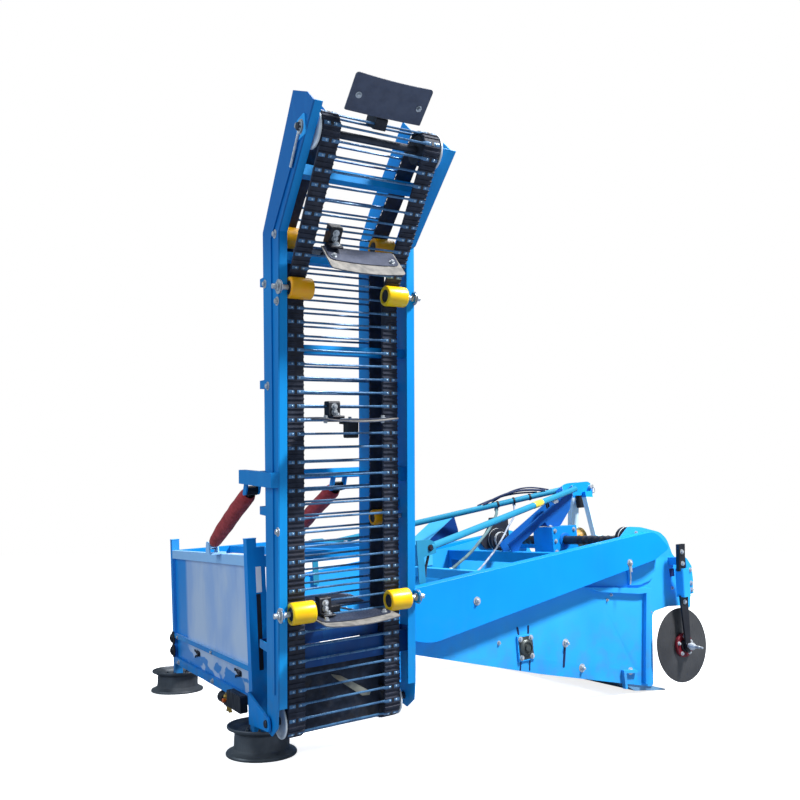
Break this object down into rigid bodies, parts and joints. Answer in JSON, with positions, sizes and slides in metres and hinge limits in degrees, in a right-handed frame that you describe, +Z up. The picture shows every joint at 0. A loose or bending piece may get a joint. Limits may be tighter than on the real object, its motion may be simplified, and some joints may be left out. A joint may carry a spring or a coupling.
{
  "type": "tractor-mounted root crop harvester with folding side elevator",
  "caption": "Tractor-mounted root crop harvester with a share, bar webs, disc coulters and a tilting side elevator, parked on wheel rims.",
  "frame": {"origin": "middle of the bounding box, on the floor under the rims and the share", "axes": "+X forward along the machine, +Y to its left, +Z up"},
  "size_m": [3.6009, 3.1385, 2.978],
  "materials": {
    "blue_paint": "gloss",
    "bright_blue_paint": "gloss",
    "panel_paint": "satin",
    "web_rubber": "matt",
    "web_steel": "worn satin",
    "black_paint": "satin",
    "yellow_roller": "gloss",
    "bright_steel": "satin",
    "dark_steel": "satin",
    "hose_rubber": "matt",
    "sleeve_fabric": "woven"
  },
  "bodies": {
    "root": {"rear_frame": "blue_paint", "frame_right": "blue_paint", "frame_left": "blue_paint", "rear_cross_beam": "blue_paint", "cylinder_beam": "blue_paint", "rear_panel": "panel_paint", "side_plate_right": "blue_paint", "side_plate_left": "blue_paint", "chain_guard_right": "bright_blue_paint", "chain_guard_left": "bright_blue_paint", "front_beam": "blue_paint", "middle_beam": "blue_paint", "hitch_mast": "blue_paint", "hydraulic_hose_1": "hose_rubber", "hydraulic_hose_2": "hose_rubber", "hydraulic_hose_3": "hose_rubber", "hydraulic_hose_4": "hose_rubber", "brace_right": "bright_blue_paint", "brace_left": "bright_blue_paint", "rear_beam": "blue_paint", "gearbox": "blue_paint", "cross_shaft_tube_right": "black_paint", "cross_shaft_tube_left": "black_paint", "hopper_plate": "blue_paint", "share": "bright_steel", "digging_web": "web_steel", "cross_web": "web_steel", "coulter_arm_right": "black_paint", "coulter_arm_left": "black_paint", "hydraulic_motor": "black_paint", "rim_stand_right": "dark_steel", "rim_stand_left": "dark_steel"},
    "elevator": {"elevator_side_rear": "blue_paint", "elevator_side_front": "blue_paint", "elevator_web": "web_rubber", "side_board_rear": "blue_paint", "side_board_front": "blue_paint", "elevator_lower_shaft": "bright_steel", "elevator_top_shaft": "bright_steel", "press_roller_low_rear": "yellow_roller", "press_roller_low_front": "yellow_roller", "press_roller_kink_rear": "yellow_roller", "press_roller_kink_front": "yellow_roller", "carry_roller_kink_rear": "yellow_roller", "carry_roller_kink_front": "yellow_roller", "carry_roller_middle_rear": "yellow_roller", "carry_roller_middle_front": "yellow_roller", "cylinder_arm": "blue_paint"},
    "barrel_rear": {"cylinder_barrel_rear": "sleeve_fabric"},
    "rod_rear": {"cylinder_rod_rear": "bright_steel"},
    "barrel_front": {"cylinder_barrel_front": "sleeve_fabric"},
    "rod_front": {"cylinder_rod_front": "bright_steel"},
    "coulter_right": {"coulter_disc_right": "dark_steel"},
    "coulter_left": {"coulter_disc_left": "dark_steel"}
  },
  "joints": [
    {"name": "elevator_tilt", "type": "hinge", "parent": "root", "child": "elevator", "pos_m": [-1.52855, -0.63425, 0.19939], "axis": [0.997, 0, 0.0778], "range_deg": [0, 30]},
    {"name": "barrel_swing_rear", "type": "hinge", "parent": "elevator", "child": "barrel_rear", "pos_m": [-1.62921, -0.42725, 1.26479], "axis": [0.997, 0, 0.0778], "range_deg": [-19.16, 0.1]},
    {"name": "rod_slide_rear", "type": "slide", "parent": "barrel_rear", "child": "rod_rear", "axis": [0.0287, 0.9294, -0.368], "range_m": [-0.001, 0.5337]},
    {"name": "barrel_swing_front", "type": "hinge", "parent": "elevator", "child": "barrel_front", "pos_m": [-1.15714, -0.42725, 1.30161], "axis": [0.997, 0, 0.0778], "range_deg": [-19.16, 0.1]},
    {"name": "rod_slide_front", "type": "slide", "parent": "barrel_front", "child": "rod_front", "axis": [0.0287, 0.9294, -0.368], "range_m": [-0.001, 0.5337]},
    {"name": "coulter_spin_right", "type": "hinge", "parent": "root", "child": "coulter_right", "pos_m": [1.5514, -0.32225, 0.29419], "axis": [0, 1, 0], "continuous": true},
    {"name": "coulter_spin_left", "type": "hinge", "parent": "root", "child": "coulter_left", "pos_m": [1.5514, 1.34775, 0.29419], "axis": [0, 1, 0], "continuous": true}
  ],
  "couplings": [
    {"joint": "barrel_swing_rear", "follows": "elevator_tilt", "ratio": -0.63551},
    {"joint": "rod_slide_rear", "follows": "elevator_tilt", "m_per_rad": 1.0155},
    {"joint": "barrel_swing_front", "follows": "elevator_tilt", "ratio": -0.63551},
    {"joint": "rod_slide_front", "follows": "elevator_tilt", "m_per_rad": 1.0155}
  ]
}
